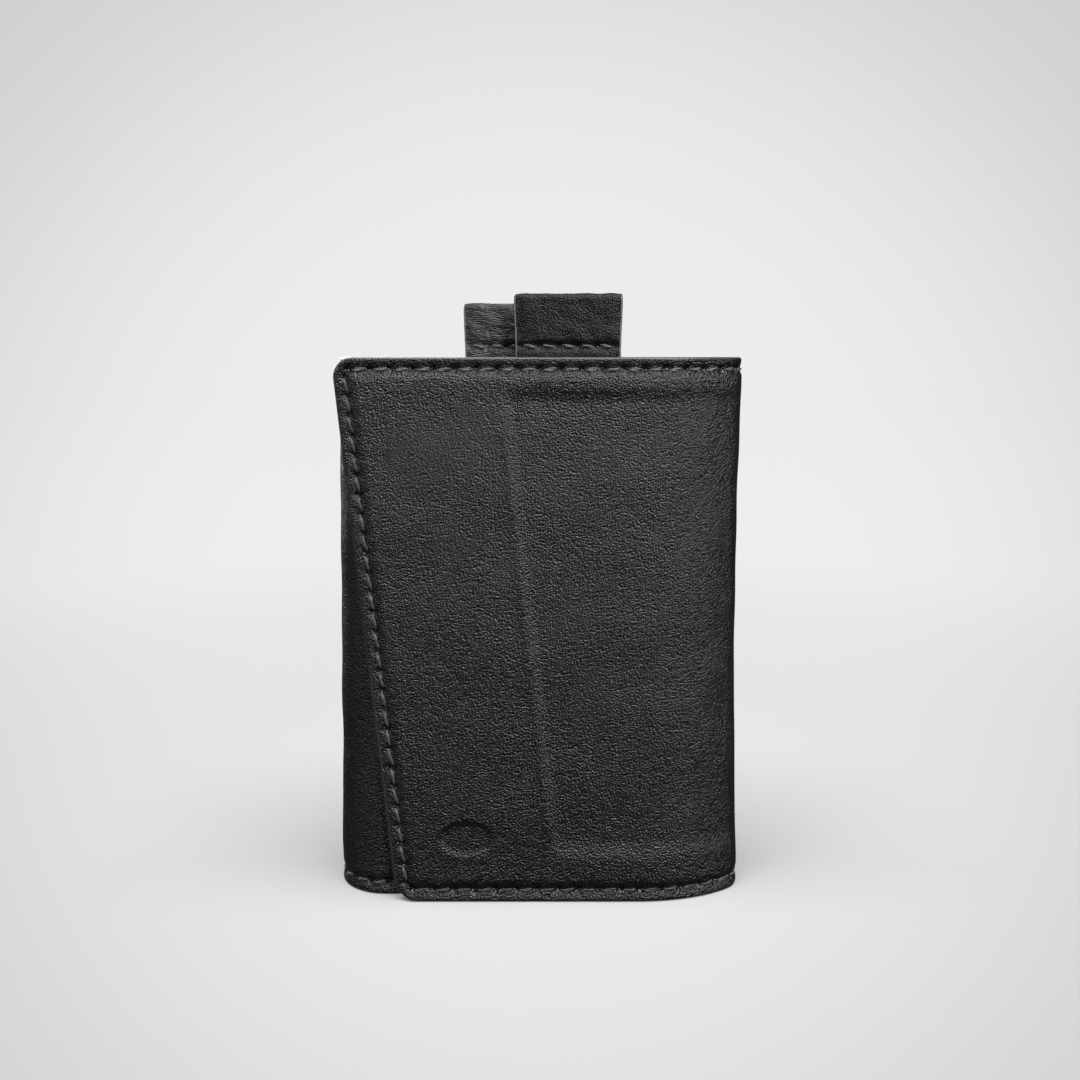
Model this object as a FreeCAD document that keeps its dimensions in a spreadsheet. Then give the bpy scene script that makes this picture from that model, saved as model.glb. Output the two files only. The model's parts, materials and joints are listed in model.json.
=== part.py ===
import math
import os
import types

import FreeCAD
import Part
import Sketcher

# A folding leather card holder that stands upright on its bottom edges.
# X runs across it, -Y is its front (the flap), +Y its back and +Z is up.
# The origin lies on the surface it stands on, midway across and midway through.
# Lengths are millimetres, angles are degrees.

SIZES = {
    # the closed cover
    "height": 102.0,
    "half_width": 38.8,
    "half_depth": 11.25,
    "rear_fold_radius": 7.0,
    "front_fold_radius": 7.0,
    "front_sweep_radius": 31.5,
    "wing_fold_radius": 9.5,
    "flap_step": 3.6,
    # leather, lining and boards
    "cover": 1.1,
    "lining": 0.5,
    "flap_lining": 0.6,
    "back_board": 0.7,
    "wing_board": 0.8,
    "flap_board": 1.5,
    "board_margin": 4.2,
    "lining_margin": 0.6,
    "corner_radius": 4.0,
    # the slanting free edges of the flap and the wing
    "edge_slant": 11.6,
    "flap_edge_foot": 27.1,
    "wing_edge_foot": 2.0,
    "ridge_foot": 3.7,
    # the block of card compartments
    "card_room": 56.0,
    "gusset": 1.2,
    "block_foot": 7.1,
    "block_top": 95.3,
    "gusset_top": 93.8,
    "wall": 0.8,
    "compartment": 5.3,
    "cash_gap": 0.7,
    "welt_width": 2.7,
    # magnets in the flap and steel keepers in the wing
    "magnet_radius": 4.0,
    "upper_magnet_x": -17.0,
    "upper_magnet_z": 76.0,
    "lower_magnet_x": -12.0,
    "lower_magnet_z": 28.0,
    # the edge stays behind the flap's top and bottom hems
    "lower_stay_top": 8.6,
    "upper_stay_foot": 95.1,
    "stay_end": 13.0,
    # gaps beside the boards and stays, where the lining steps down to the cover
    "stay_gap": 0.6,
    "ridge_gap": 0.4,
    "wing_ramp": 2.6,
    "wing_board_gap": 0.3,
    # how far the blanks of the flap and the wing reach before they are trimmed
    "flap_blank": 50.0,
    "wing_blank": 20.0,
    # straps: ribbon and pull tabs
    "ribbon": 0.4,
    "ribbon_width": 16.0,
    "ribbon_gap": 0.15,
    "loop_radius": 1.2,
    "loop_leg": 4.0,
    "anchor_foot": 84.0,
    "anchor_height": 7.0,
    "tab_width": 21.0,
    "tab_foot": 99.5,
    "tab_leather": 0.8,
    "front_tab_top": 114.4,
    "rear_tab_top": 112.8,
    "front_strap_x": 5.35,
    "rear_strap_x": -4.7,
    # stitches, which lie in a shallow groove along each edge
    "stitch_pitch": 3.9,
    "stitch_length": 2.8,
    "stitch_width": 0.5,
    "stitch_height": 0.3,
    "stitch_margin": 2.3,
    "groove_width": 0.8,
    "back_row_start": 1.0,
    "wing_row_start": 0.6,
}

# how many stitches each row has
BACK_STITCHES = 16
FLAP_STITCHES = 11
FLAP_EDGE_STITCHES = 24
WING_STITCHES = 4
TAB_STITCHES = 5
ANCHOR_STITCHES = 4

# how far a trimming cut runs past the panel, up and down and sideways
TRIM_OVERRUN = 20.0
TRIM_WIDTH = 60.0

document = FreeCAD.newDocument("card_holder")


class Size:
    """A length that knows its value and the expression that ties it to the sheet."""

    def __init__(self, value, text):
        self.value = value
        self.text = text

    def __add__(self, other):
        other = as_size(other)
        return Size(self.value + other.value, f"({self.text} + {other.text})")

    def __sub__(self, other):
        return self + -as_size(other)

    def __mul__(self, factor):
        factor = as_size(factor)
        return Size(self.value * factor.value, f"({self.text} * {factor.text})")

    def __truediv__(self, divisor):
        divisor = as_size(divisor)
        return Size(self.value / divisor.value, f"({self.text} / {divisor.text})")

    def __neg__(self):
        return Size(-self.value, f"(0 - {self.text})")

    __rmul__ = __mul__


def as_size(value):
    """A plain number as a Size."""
    if isinstance(value, Size):
        return value
    return Size(float(value), f"({float(value):.6f})")


def make_sheet(sizes):
    """Write the driving dimensions in a spreadsheet and return them as named sizes."""
    sheet = document.addObject("Spreadsheet::Sheet", "dims")
    for row, (name, value) in enumerate(sizes.items(), 1):
        sheet.set(f"A{row}", name)
        sheet.set(f"B{row}", str(value))
        sheet.setAlias(f"B{row}", name)
    document.recompute()
    named = {name: Size(value, f"dims.{name}") for name, value in sizes.items()}
    return types.SimpleNamespace(**named)


def bind(item, path, size):
    """Tie a property of an object to the sheet."""
    item.setExpression(path, as_size(size).text)


# ---------------------------------------------------------------- outlines

class Bow:
    """An arc in an outline, from one angle to another round a centre."""

    def __init__(self, centre, radius, first, last):
        self.centre = (as_size(centre[0]), as_size(centre[1]))
        self.radius = as_size(radius)
        self.first = first
        self.last = last

    def end(self, angle):
        x = self.centre[0] + self.radius * math.cos(math.radians(angle))
        y = self.centre[1] + self.radius * math.sin(math.radians(angle))
        return x, y


def vector(point):
    return FreeCAD.Vector(as_size(point[0]).value, as_size(point[1]).value, 0)


def first_point(item):
    return item.end(item.first) if isinstance(item, Bow) else item


def last_point(item):
    return item.end(item.last) if isinstance(item, Bow) else item


def fix_point(sketch, index, end, point, axes="XY"):
    """Hold one end of a piece of an outline at a point bound to the sheet."""
    for axis, size in zip("XY", point):
        if axis in axes:
            size = as_size(size)
            rule = Sketcher.Constraint(f"Distance{axis}", index, end, size.value)
            number = sketch.addConstraint(rule)
            bind(sketch, f"Constraints[{number}]", size)


def add_bow(sketch, bow):
    """Add an arc and return its number with its first and last end."""
    low, high = sorted((bow.first, bow.last))
    circle = Part.Circle(vector(bow.centre), FreeCAD.Vector(0, 0, 1), bow.radius.value)
    arc = Part.ArcOfCircle(circle, math.radians(low), math.radians(high))
    index = sketch.addGeometry(arc, False)
    number = sketch.addConstraint(Sketcher.Constraint("Radius", index, bow.radius.value))
    bind(sketch, f"Constraints[{number}]", bow.radius)
    fix_point(sketch, index, 3, bow.centre)
    ends = (1, 2) if bow.first < bow.last else (2, 1)
    return index, ends[0], ends[1]


def steady_axis(angle):
    """The coordinate that settles where an arc ends."""
    steep = abs(math.cos(math.radians(angle))) > math.sqrt(0.5) + 1e-6
    return "Y" if steep else "X"


def draw_outline(sketch, items):
    """Draw a closed outline of corners and arcs, in order."""
    chain = []
    for here, after in zip(items, items[1:] + items[:1]):
        if isinstance(here, Bow):
            chain.append((here, *add_bow(sketch, here)))
        start, stop = vector(last_point(here)), vector(first_point(after))
        if start.distanceToPoint(stop) > 1e-6:
            index = sketch.addGeometry(Part.LineSegment(start, stop), False)
            if not isinstance(here, Bow):
                fix_point(sketch, index, 1, here)
            chain.append((None, index, 1, 2))
    for here, after in zip(chain, chain[1:] + chain[:1]):
        sketch.addConstraint(Sketcher.Constraint("Coincident", here[1], here[3], after[1], after[2]))
        if here[0] is not None and after[0] is None:
            fix_point(sketch, here[1], here[3], here[0].end(here[0].last), steady_axis(here[0].last))
        if after[0] is not None and here[0] is None:
            fix_point(sketch, after[1], after[2], after[0].end(after[0].first), steady_axis(after[0].first))


def draw_circle(sketch, centre, radius):
    """Draw a bound circle."""
    circle = Part.Circle(vector(centre), FreeCAD.Vector(0, 0, 1), radius.value)
    index = sketch.addGeometry(circle, False)
    number = sketch.addConstraint(Sketcher.Constraint("Radius", index, radius.value))
    bind(sketch, f"Constraints[{number}]", radius)
    fix_point(sketch, index, 3, centre)


# ---------------------------------------------------------------- solids

def new_sketch(body, plane, name):
    """A sketch on one of the body's own origin planes."""
    sketch = body.newObject("Sketcher::SketchObject", f"{body.Label}_{name}")
    origin_plane = next(item for item in body.Origin.OriginFeatures if item.Role == plane)
    sketch.AttachmentSupport = [(origin_plane, "")]
    sketch.MapMode = "FlatFace"
    return sketch


def new_pad(body, sketch, length):
    """Pad a sketch to a length bound to the sheet."""
    pad = body.newObject("PartDesign::Pad", f"{body.Label}_pad")
    pad.Profile = sketch
    bind(pad, "Length", length)
    document.recompute()
    return pad


def bent_panel(name, outline, foot, top):
    """A panel with one section all the way up, drawn from above."""
    body = document.addObject("PartDesign::Body", name)
    sketch = new_sketch(body, "XY_Plane", "section")
    bind(sketch, "AttachmentOffset.Base.z", foot)
    draw_outline(sketch, outline)
    new_pad(body, sketch, top - foot)
    return body


def flat_panel(name, outline, front, back, holes=()):
    """A flat panel drawn from the front, between two depths."""
    body = document.addObject("PartDesign::Body", name)
    sketch = new_sketch(body, "XZ_Plane", "outline")
    bind(sketch, "AttachmentOffset.Base.z", -as_size(back))
    draw_outline(sketch, outline)
    for centre, radius in holes:
        draw_circle(sketch, centre, radius)
    new_pad(body, sketch, as_size(back) - front)
    return body


def cross_piece(name, outline, centre, width):
    """A piece with one section all the way across, drawn from its right side."""
    body = document.addObject("PartDesign::Body", name)
    sketch = new_sketch(body, "YZ_Plane", "section")
    bind(sketch, "AttachmentOffset.Base.z", centre - width / 2)
    draw_outline(sketch, outline)
    new_pad(body, sketch, width)
    return body


def trim(body, outline):
    """Cut an outline, drawn from the front, right through the body."""
    before = body.Shape.Volume
    sketch = new_sketch(body, "XZ_Plane", "trim")
    draw_outline(sketch, outline)
    pocket = body.newObject("PartDesign::Pocket", f"{body.Label}_trim_cut")
    pocket.Profile = sketch
    pocket.Type = "ThroughAll"
    pocket.SideType = "Symmetric"
    document.recompute()
    if not body.Shape.Volume < before:
        raise RuntimeError(f"{body.Label}: the trim cut nothing")


def groove(body, outline, face, inward):
    """Press a shallow groove, drawn from the front, in a face that looks along Y."""
    before = body.Shape.Volume
    sketch = new_sketch(body, "XZ_Plane", "groove")
    bind(sketch, "AttachmentOffset.Base.z", -face)
    draw_outline(sketch, outline)
    pocket = body.newObject("PartDesign::Pocket", f"{body.Label}_groove_cut")
    pocket.Profile = sketch
    pocket.Reversed = inward < 0
    bind(pocket, "Length", size.stitch_height)
    document.recompute()
    if not body.Shape.Volume < before:
        raise RuntimeError(f"{body.Label}: the groove cut nothing")


def round_corners(body, radius, corners):
    """Round the corners that run front to back at the given (x, z) places."""
    base = body.Tip
    names = []
    for number, edge in enumerate(base.Shape.Edges, 1):
        middle = edge.CenterOfMass
        along_y = abs(edge.tangentAt(edge.FirstParameter).y) > 0.999
        for x, z in corners:
            offset = math.hypot(middle.x - as_size(x).value, middle.z - as_size(z).value)
            if along_y and offset < 0.2:
                names.append(f"Edge{number}")
    if len(names) != len(corners):
        raise RuntimeError(f"{body.Label}: {len(names)} corners found of {len(corners)}")
    fillet = body.newObject("PartDesign::Fillet", f"{body.Label}_corners")
    fillet.Base = (base, names)
    bind(fillet, "Radius", radius)
    document.recompute()


def disc(name, x, z, radius, front, back):
    """A round plate whose axis runs front to back."""
    item = document.addObject("Part::Cylinder", name)
    bind(item, "Radius", radius)
    bind(item, "Height", back - front)
    item.Placement = FreeCAD.Placement(FreeCAD.Vector(), FreeCAD.Rotation(FreeCAD.Vector(1, 0, 0), 90))
    bind(item, "Placement.Base.x", x)
    bind(item, "Placement.Base.y", back)
    bind(item, "Placement.Base.z", z)
    return item


def stitch(name, along, corner, turn=0.0):
    """One stitch: a small bar along an axis, placed by its low corner, turned about Y."""
    sides = {"Length": size.stitch_width, "Width": size.stitch_width, "Height": size.stitch_width}
    sides[along[0]] = size.stitch_length
    sides[along[1]] = size.stitch_height
    bar = document.addObject("Part::Box", name)
    for side, length in sides.items():
        bind(bar, side, length)
    bar.Placement = FreeCAD.Placement(FreeCAD.Vector(), FreeCAD.Rotation(FreeCAD.Vector(0, 1, 0), turn))
    for axis, place in zip("xyz", corner):
        bind(bar, f"Placement.Base.{axis}", place)
    return bar


def thread(name, bars):
    """Stitches that share one node."""
    group = document.addObject("Part::Compound", name)
    group.Links = bars
    return group


def slanted(foot, height):
    """Where a slanting free edge lies at a height, from where it meets the bottom."""
    return foot - height * size.edge_slant / size.height


size = make_sheet(SIZES)

# ---------------------------------------------------------------- shared places

FRONT = -size.half_depth
BACK = size.half_depth
WING_FACE = FRONT + size.flap_step
REAR_CENTRE = (size.half_width - size.rear_fold_radius, size.half_depth - size.rear_fold_radius)
REAR_LEFT_CENTRE = (-REAR_CENTRE[0], REAR_CENTRE[1])
FOLD_CENTRE = (size.half_width - size.front_fold_radius, as_size(0))
WING_CENTRE = (-(size.half_width - size.wing_fold_radius), WING_FACE + size.wing_fold_radius)
HALF_FOLD = 45.0

# The flap bends round in a wide sweep that runs into the tight front fold.
sweep_turn = math.degrees(math.acos(
    (size.front_sweep_radius.value - size.half_depth.value)
    / (size.front_sweep_radius.value - size.front_fold_radius.value)))
SWEEP_END = sweep_turn - 90.0
sweep_reach = (size.front_sweep_radius - size.front_fold_radius) * math.sin(math.radians(sweep_turn))
FLAT_END = FOLD_CENTRE[0] - sweep_reach
SWEEP_CENTRE = (FLAT_END, FRONT + size.front_sweep_radius)

# Depths of the layers, from the back to the front.
BACK_BOARD = BACK - size.cover
BACK_LINING = BACK_BOARD - size.back_board
BACK_INSIDE = BACK_LINING - size.lining
REAR_WALL = BACK_INSIDE - size.cash_gap
REAR_ROOM = REAR_WALL - size.wall
DIVIDER = REAR_ROOM - size.compartment
FRONT_ROOM = DIVIDER - size.wall
FRONT_WALL = FRONT_ROOM - size.compartment
WING_BOARD = WING_FACE + size.cover
WING_LINING = WING_BOARD + size.wing_board
FLAP_BOARD = FRONT + size.cover
FLAP_LINING = FLAP_BOARD + size.flap_board
FLAP_INSIDE = FLAP_LINING + size.flap_lining

BLOCK_SIDE = size.card_room / 2 + size.gusset


def rectangle(left, right, foot, top):
    """Corners of a rectangle, in order."""
    return [(left, foot), (right, foot), (right, top), (left, top)]


# ---------------------------------------------------------------- back

def rear_cover_layer(name, outer, inner, foot, top):
    """A layer over the back, with the first half of both rear folds."""
    turn = 90.0
    outline = [
        Bow(REAR_CENTRE, size.rear_fold_radius - outer, HALF_FOLD, turn),
        Bow(REAR_LEFT_CENTRE, size.rear_fold_radius - outer, turn, turn + HALF_FOLD),
        Bow(REAR_LEFT_CENTRE, size.rear_fold_radius - inner, turn + HALF_FOLD, turn),
        Bow(REAR_CENTRE, size.rear_fold_radius - inner, turn, HALF_FOLD),
    ]
    return bent_panel(name, outline, foot, top)


def block_panel(name, front, back, top):
    """A wall of the card block, rounded at its bottom corners."""
    outline = rectangle(-BLOCK_SIDE, BLOCK_SIDE, size.block_foot, top)
    body = flat_panel(name, outline, front, back)
    round_corners(body, size.corner_radius, outline[:2])
    return body


def block_strip(name, front, back, width, top):
    """A U-shaped strip along the sides and the floor of the card block."""
    inner = BLOCK_SIDE - width
    floor = size.block_foot + width
    outline = [
        (-BLOCK_SIDE, size.block_foot), (BLOCK_SIDE, size.block_foot), (BLOCK_SIDE, top),
        (inner, top), (inner, floor), (-inner, floor), (-inner, top), (-BLOCK_SIDE, top),
    ]
    body = flat_panel(name, outline, front, back)
    round_corners(body, size.corner_radius, outline[:2])
    round_corners(body, size.corner_radius - size.gusset, outline[4:6])
    return body


def make_back():
    """The fixed body: back cover and the block of card compartments."""
    cover = rear_cover_layer("cover_back", as_size(0), size.cover, as_size(0), size.height)
    edge = REAR_CENTRE[0]
    for foot in row_heights():
        groove(cover, groove_outline(-edge, edge, foot), BACK, -1)
    margin = size.board_margin
    board = rectangle(-edge, edge, margin, size.height - margin)
    round_corners(flat_panel("board_back", board, BACK_LINING, BACK_BOARD), size.corner_radius, board)
    margin = size.lining_margin
    flat_panel("lining_back", rectangle(-edge, edge, margin, size.height - margin), BACK_INSIDE, BACK_LINING)
    block_strip("cash_pocket_welt", REAR_WALL, BACK_INSIDE, size.welt_width, size.gusset_top)
    block_panel("pocket_rear_wall", REAR_ROOM, REAR_WALL, size.block_top)
    block_strip("gusset_rear", DIVIDER, REAR_ROOM, size.gusset, size.gusset_top)
    block_panel("divider", FRONT_ROOM, DIVIDER, size.block_top)
    block_strip("gusset_front", FRONT_WALL, FRONT_ROOM, size.gusset, size.gusset_top)
    block_panel("pocket_front_wall", FRONT_WALL - size.wall, FRONT_WALL, size.block_top)


# ---------------------------------------------------------------- spines

def right_spine_layer(name, outer, inner, foot, top):
    """A layer of the right side, from the middle of the rear fold to the flap's sweep."""
    outline = [
        Bow(REAR_CENTRE, size.rear_fold_radius - outer, HALF_FOLD, 0.0),
        Bow(FOLD_CENTRE, size.front_fold_radius - outer, 0.0, SWEEP_END),
        Bow(FOLD_CENTRE, size.front_fold_radius - inner, SWEEP_END, 0.0),
        Bow(REAR_CENTRE, size.rear_fold_radius - inner, 0.0, HALF_FOLD),
    ]
    return bent_panel(name, outline, foot, top)


def left_spine_layer(name, outer, inner, foot, top):
    """A layer of the left side, between the middles of its two folds."""
    side = 180.0
    outline = [
        Bow(REAR_LEFT_CENTRE, size.rear_fold_radius - outer, side - HALF_FOLD, side),
        Bow(WING_CENTRE, size.wing_fold_radius - outer, side, side + HALF_FOLD),
        Bow(WING_CENTRE, size.wing_fold_radius - inner, side + HALF_FOLD, side),
        Bow(REAR_LEFT_CENTRE, size.rear_fold_radius - inner, side, side - HALF_FOLD),
    ]
    return bent_panel(name, outline, foot, top)


def make_spines():
    """Cover and lining of both sides."""
    margin = size.lining_margin
    for side, layer in (("right", right_spine_layer), ("left", left_spine_layer)):
        layer(f"cover_{side}_spine", as_size(0), size.cover, as_size(0), size.height)
        layer(f"lining_{side}_spine", size.cover, size.cover + size.lining, margin, size.height - margin)


# ---------------------------------------------------------------- flap and wing

def slant_trim(body, foot, margin, side):
    """Cut away all that lies beyond a slanting free edge, on the side it faces."""
    low, high = as_size(-TRIM_OVERRUN), size.height + TRIM_OVERRUN
    inset = margin * -side
    edge_low, edge_high = slanted(foot, low) + inset, slanted(foot, high) + inset
    trim(body, [(edge_low, low), (edge_low + side * TRIM_WIDTH, low),
                (edge_high + side * TRIM_WIDTH, high), (edge_high, high)])


def edge_corners(foot, margin, side, low, high):
    """The two ends of a slanting free edge."""
    inset = margin * -side
    return [(slanted(foot, low) + inset, low), (slanted(foot, high) + inset, high)]


def flap_board_outline():
    """The flap's board: slanting at its free edge and at the ridge."""
    low, high = size.board_margin, size.height - size.board_margin
    left = -size.flap_edge_foot + size.board_margin
    return [(slanted(left, low), low), (slanted(size.ridge_foot, low), low),
            (slanted(size.ridge_foot, high), high), (slanted(left, high), high)]


def wing_board_outline(left):
    """The wing's board: square at the fold and slanting at its free edge."""
    low, high = size.board_margin, size.height - size.board_margin
    right = size.wing_edge_foot - size.board_margin
    return [(left, low), (slanted(right, low), low), (slanted(right, high), high), (left, high)]


def make_flap():
    """The front flap with its board, stays and lining."""
    far_left = -size.flap_blank
    free_edge = -size.flap_edge_foot
    full = as_size(0)
    sweep = size.front_sweep_radius
    cover_inside = FRONT + size.cover
    cover = bent_panel("cover_flap", [
        Bow(SWEEP_CENTRE, sweep, -90.0, SWEEP_END),
        Bow(SWEEP_CENTRE, sweep - size.cover, SWEEP_END, -90.0),
        (far_left, cover_inside), (far_left, FRONT)], full, size.height)
    slant_trim(cover, free_edge, full, -1)
    round_corners(cover, size.corner_radius, edge_corners(free_edge, full, -1, full, size.height))
    low, high = size.stitch_margin, size.height - size.stitch_margin
    for foot in row_heights():
        start = slanted(free_edge, foot) + size.stitch_margin
        groove(cover, groove_outline(start, FLAT_END, foot), FRONT, 1)
    left = free_edge + size.stitch_margin
    right = left + size.groove_width
    groove(cover, [(slanted(left, low), low), (slanted(right, low), low),
                   (slanted(right, high), high), (slanted(left, high), high)], FRONT, 1)

    margin = size.lining_margin
    ramp = size.stay_end + size.stay_gap
    lining = bent_panel("lining_flap", [
        Bow(SWEEP_CENTRE, sweep - size.cover, -90.0, SWEEP_END),
        Bow(SWEEP_CENTRE, sweep - size.cover - size.lining, SWEEP_END, -90.0),
        (ramp, FLAP_INSIDE), (far_left, FLAP_INSIDE), (far_left, FLAP_LINING),
        (ramp, FLAP_LINING)], margin, size.height - margin)
    slant_trim(lining, free_edge, margin, -1)
    round_corners(lining, size.corner_radius,
                  edge_corners(free_edge, margin, -1, margin, size.height - margin))

    holes = [((x, z), size.magnet_radius) for x, z in magnet_places()]
    outline = flap_board_outline()
    board = flat_panel("board_flap", outline, FLAP_BOARD, FLAP_LINING, holes)
    round_corners(board, size.corner_radius - size.board_margin / 2, [outline[0], outline[3]])

    stays = {"bottom": (size.board_margin, size.lower_stay_top),
             "top": (size.upper_stay_foot, size.height - size.board_margin)}
    gap = size.ridge_foot + size.ridge_gap
    for name, (foot, top) in stays.items():
        outline = [(slanted(gap, foot), foot), (size.stay_end, foot),
                   (size.stay_end, top), (slanted(gap, top), top)]
        flat_panel(f"edge_stay_{name}", outline, FLAP_BOARD, FLAP_LINING)
    for name, (x, z) in zip(("upper", "lower"), magnet_places()):
        disc(f"magnet_{name}", x, z, size.magnet_radius, FLAP_BOARD, FLAP_LINING)


def magnet_places():
    """Where the two magnets sit, seen from the front."""
    return [(size.upper_magnet_x, size.upper_magnet_z), (size.lower_magnet_x, size.lower_magnet_z)]


def make_wing():
    """The wing under the flap, with its board, lining and steel keepers."""
    far_right = size.wing_blank
    free_edge = size.wing_edge_foot
    full = as_size(0)
    half = 225.0
    radius = size.wing_fold_radius
    cover = bent_panel("cover_wing", [
        Bow(WING_CENTRE, radius, half, 270.0),
        (far_right, WING_FACE), (far_right, WING_BOARD),
        Bow(WING_CENTRE, radius - size.cover, 270.0, half)], full, size.height)
    slant_trim(cover, free_edge, full, 1)
    round_corners(cover, size.corner_radius, edge_corners(free_edge, full, 1, full, size.height))
    for foot in row_heights():
        end = slanted(free_edge, foot) - size.stitch_margin
        groove(cover, groove_outline(WING_CENTRE[0], end, foot), WING_FACE, 1)

    margin = size.lining_margin
    ramp = WING_CENTRE[0] + size.wing_ramp
    inside = radius - size.cover
    lining = bent_panel("lining_wing", [
        Bow(WING_CENTRE, inside, half, 270.0),
        (ramp, WING_LINING), (far_right, WING_LINING),
        (far_right, WING_LINING + size.lining), (ramp, WING_LINING + size.lining),
        Bow(WING_CENTRE, inside - size.lining, 270.0, half)], margin, size.height - margin)
    slant_trim(lining, free_edge, margin, 1)
    round_corners(lining, size.corner_radius,
                  edge_corners(free_edge, margin, 1, margin, size.height - margin))

    outline = wing_board_outline(ramp + size.wing_board_gap)
    holes = [((x, z), size.magnet_radius) for x, z in magnet_places()]
    board = flat_panel("board_wing", outline, WING_BOARD, WING_LINING, holes)
    round_corners(board, size.corner_radius - size.board_margin / 2, outline[1:3])
    for name, (x, z) in zip(("upper", "lower"), magnet_places()):
        disc(f"keeper_{name}", x, z, size.magnet_radius, WING_BOARD, WING_LINING)


# ---------------------------------------------------------------- straps

def make_strap(name, centre, room_front, room_back, tab_top):
    """A ribbon that runs under the cards, sewn in at one end, with a leather tab at the other."""
    half = size.ribbon_width / 2
    left, right = centre - half, centre + half
    front = room_front + size.ribbon_gap
    back = room_back - size.ribbon_gap
    inner_front, inner_back = front + size.ribbon, back - size.ribbon
    floor = size.block_foot + size.gusset + size.ribbon_gap
    leg_top = floor + size.loop_leg
    outer = size.loop_radius
    inner = outer - size.ribbon
    turn_z = floor + outer
    cross_piece(f"{name}_loop", [
        Bow((front + outer, turn_z), outer, 180.0, 270.0),
        Bow((back - outer, turn_z), outer, 270.0, 360.0),
        (back, leg_top), (inner_back, leg_top),
        Bow((back - outer, turn_z), inner, 360.0, 270.0),
        Bow((front + outer, turn_z), inner, 270.0, 180.0),
        (inner_front, leg_top), (front, leg_top)], centre, size.ribbon_width)
    flat_panel(f"{name}_front_run", rectangle(left, right, leg_top, size.anchor_foot), front, inner_front)
    anchor_top = size.anchor_foot + size.anchor_height
    anchor_face = inner_front - size.stitch_height
    flat_panel(f"{name}_anchor", rectangle(left, right, size.anchor_foot, anchor_top), room_front, anchor_face)

    ribbon_middle = back - size.ribbon / 2
    fold = size.tab_leather + size.ribbon / 2
    fold_z = tab_top - fold
    flat_panel(f"{name}_rear_run", rectangle(left, right, leg_top, fold_z), inner_back, back)
    cross_piece(f"{name}_tab", [
        (ribbon_middle + fold, size.tab_foot),
        Bow((ribbon_middle, fold_z), fold, 0.0, 180.0),
        (ribbon_middle - fold, size.tab_foot), (inner_back, size.tab_foot),
        Bow((ribbon_middle, fold_z), size.ribbon / 2, 180.0, 0.0),
        (back, size.tab_foot)], centre, size.tab_width)

    rows = []
    row_z = size.tab_foot + size.stitch_margin * 2
    for number in range(TAB_STITCHES):
        x = centre + (number - (TAB_STITCHES - 1) / 2) * size.stitch_pitch - size.stitch_length / 2
        y = ribbon_middle - fold - size.stitch_height
        rows.append(stitch(f"{name}_tab_stitch_{number}", ("Length", "Width"), (x, y, row_z)))
    thread(f"{name}_tab_thread", rows)
    rows = []
    row_z = size.anchor_foot + size.anchor_height / 2
    for number in range(ANCHOR_STITCHES):
        x = centre + (number - (ANCHOR_STITCHES - 1) / 2) * size.stitch_pitch - size.stitch_length / 2
        rows.append(stitch(f"{name}_anchor_stitch_{number}", ("Length", "Width"), (x, anchor_face, row_z)))
    thread(f"{name}_anchor_thread", rows)


# ---------------------------------------------------------------- threads

def row_heights():
    """Foot of the groove of the bottom row of stitches, and of the top row."""
    low = size.stitch_margin - size.groove_width / 2
    return [low, size.height - low - size.groove_width]


def groove_outline(left, right, foot):
    """A straight groove along X."""
    return rectangle(left, right, foot, foot + size.groove_width)


def straight_rows(name, first, count, low_face):
    """Stitches along X, in the bottom and the top groove."""
    bars = []
    inset = (size.groove_width - size.stitch_width) / 2
    for row, foot in enumerate(row_heights()):
        for number in range(count):
            x = first + number * size.stitch_pitch
            bars.append(stitch(f"{name}_{row}_{number}", ("Length", "Width"), (x, low_face, foot + inset)))
    return bars


def make_threads():
    """The visible stitches of the flat panels."""
    first = -REAR_CENTRE[0] + size.back_row_start
    bars = straight_rows("back_stitch", first, BACK_STITCHES, BACK - size.stitch_height)
    thread("thread_back", bars)

    first = FLAT_END - size.stitch_length - (FLAP_STITCHES - 1) * size.stitch_pitch
    bars = straight_rows("flap_stitch", first, FLAP_STITCHES, FRONT)
    slant = -math.degrees(math.atan2(size.edge_slant.value, size.height.value))
    inset = size.stitch_margin + (size.groove_width - size.stitch_width) / 2
    for number in range(FLAP_EDGE_STITCHES):
        foot = size.stitch_margin * 2 + number * size.stitch_pitch
        x = slanted(-size.flap_edge_foot, foot) + inset
        bars.append(stitch(f"flap_edge_stitch_{number}", ("Height", "Width"), (x, FRONT, foot), slant))
    thread("thread_flap", bars)

    first = WING_CENTRE[0] + size.wing_row_start
    thread("thread_wing", straight_rows("wing_stitch", first, WING_STITCHES, WING_FACE))


# ---------------------------------------------------------------- build and write

def sub_parts():
    """Every finished piece: bodies, threads and discs."""
    kinds = ("PartDesign::Body", "Part::Compound", "Part::Cylinder")
    return [item for item in document.Objects if item.TypeId in kinds]


def check_all():
    """Stop if any object failed or any piece has no valid shape."""
    for item in document.Objects:
        if "Invalid" in item.State or "Error" in item.State:
            raise RuntimeError(f"{item.Label} failed: {item.State}")
    for item in sub_parts():
        if item.Shape.isNull() or not item.Shape.isValid():
            raise RuntimeError(f"{item.Label} has no valid shape")


def main():
    make_back()
    make_spines()
    make_flap()
    make_wing()
    make_strap("front_strap", size.front_strap_x, FRONT_WALL, FRONT_ROOM, size.front_tab_top)
    make_strap("rear_strap", size.rear_strap_x, DIVIDER, REAR_ROOM, size.rear_tab_top)
    make_threads()
    document.recompute()
    check_all()
    os.makedirs("parts", exist_ok=True)
    for item in sub_parts():
        item.Shape.exportStep(f"parts/{item.Label}.step")
    print(len(sub_parts()), "pieces written")


main()
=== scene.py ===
import math

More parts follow.
